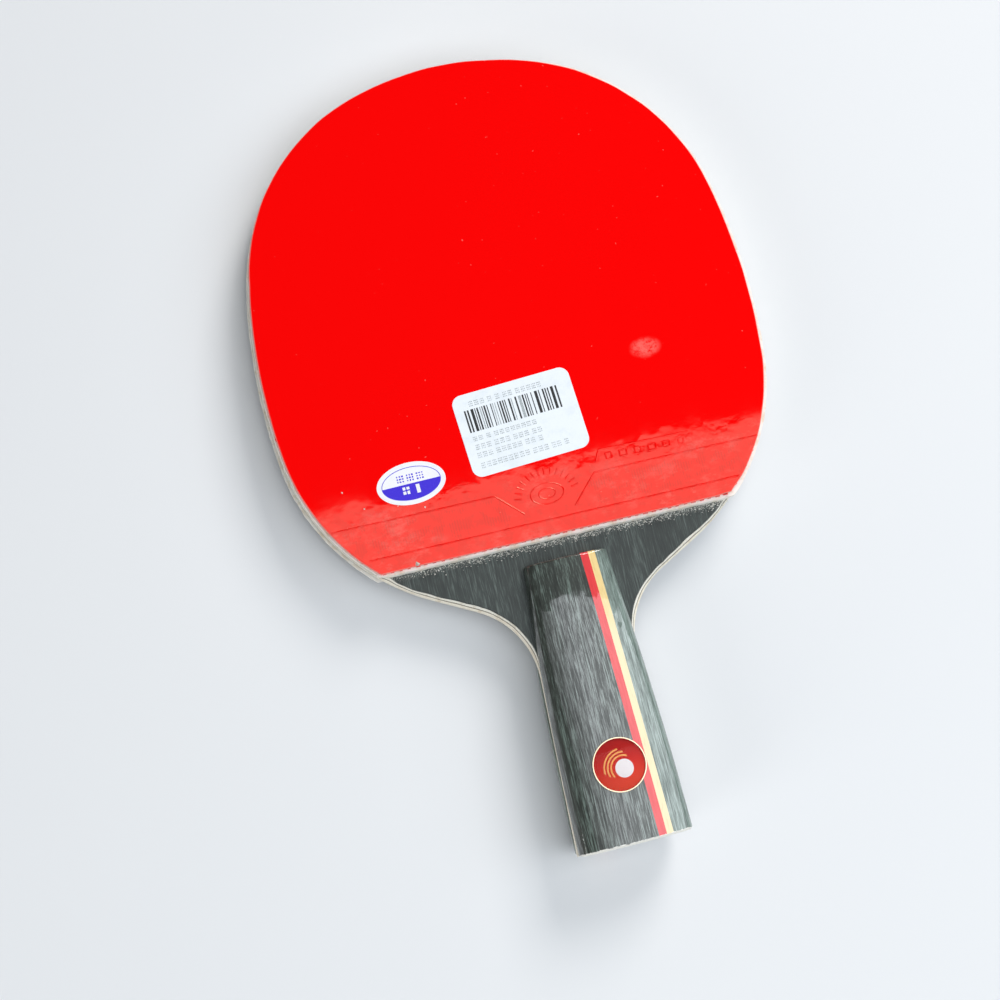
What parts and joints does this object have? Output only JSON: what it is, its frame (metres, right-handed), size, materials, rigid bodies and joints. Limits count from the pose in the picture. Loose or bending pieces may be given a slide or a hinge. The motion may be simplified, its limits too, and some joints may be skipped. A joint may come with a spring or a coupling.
{
  "type": "table tennis paddle",
  "caption": "Short-handled table tennis paddle: plywood blade with sponge rubber on both faces, one red and one black, and a crowned laminated wooden handle with a round badge.",
  "frame": {"origin": "centre of the handle's butt face, on the middle plane of the blade", "axes": "+Y along the handle to the tip of the head, +Z out of the red playing face, +X to the right when the red face is seen with the head up"},
  "size_m": [0.152, 0.243, 0.0234],
  "materials": {
    "pale_wood": "raw pale wood, sawn and lightly sanded",
    "dark_ply": "thin dark-dyed ply, seen as a line in the edge",
    "black_veneer": "black-dyed veneer, open grain, satin",
    "sponge": "cream cellular sponge",
    "red_rubber": "smooth glossy red rubber",
    "black_rubber": "smooth glossy black rubber",
    "handle_wood": "black-dyed laminated wood, lacquered satin",
    "red_strip": "red-dyed wood strip, lacquered satin",
    "cream_strip": "cream wood strip, lacquered satin",
    "oval_sticker": "printed film sticker, white and violet-blue",
    "badge_metal": "thin gold-coloured rim",
    "badge_print": "printed deep red disc",
    "badge_resin": "clear resin dome",
    "paper_label": "white printed label"
  },
  "bodies": {
    "root": {"blade_core": "pale_wood", "blade_dark_ply_front": "dark_ply", "blade_outer_ply_front": "pale_wood", "blade_face_veneer_front": "black_veneer", "rubber_sponge_front": "sponge", "rubber_topsheet_front": "red_rubber", "handle_main_block_front": "handle_wood", "handle_red_strip_front": "red_strip", "handle_cream_strip_front": "cream_strip", "handle_side_block_front": "handle_wood", "oval_sticker_front": "oval_sticker", "blade_dark_ply_back": "dark_ply", "blade_outer_ply_back": "pale_wood", "blade_face_veneer_back": "black_veneer", "rubber_sponge_back": "sponge", "rubber_topsheet_back": "black_rubber", "handle_main_block_back": "handle_wood", "handle_red_strip_back": "red_strip", "handle_cream_strip_back": "cream_strip", "handle_side_block_back": "handle_wood", "oval_sticker_back": "oval_sticker", "badge_cup": "badge_metal", "badge_printed_disc": "badge_print", "badge_resin_dome": "badge_resin", "barcode_label": "paper_label"}
  },
  "joints": []
}
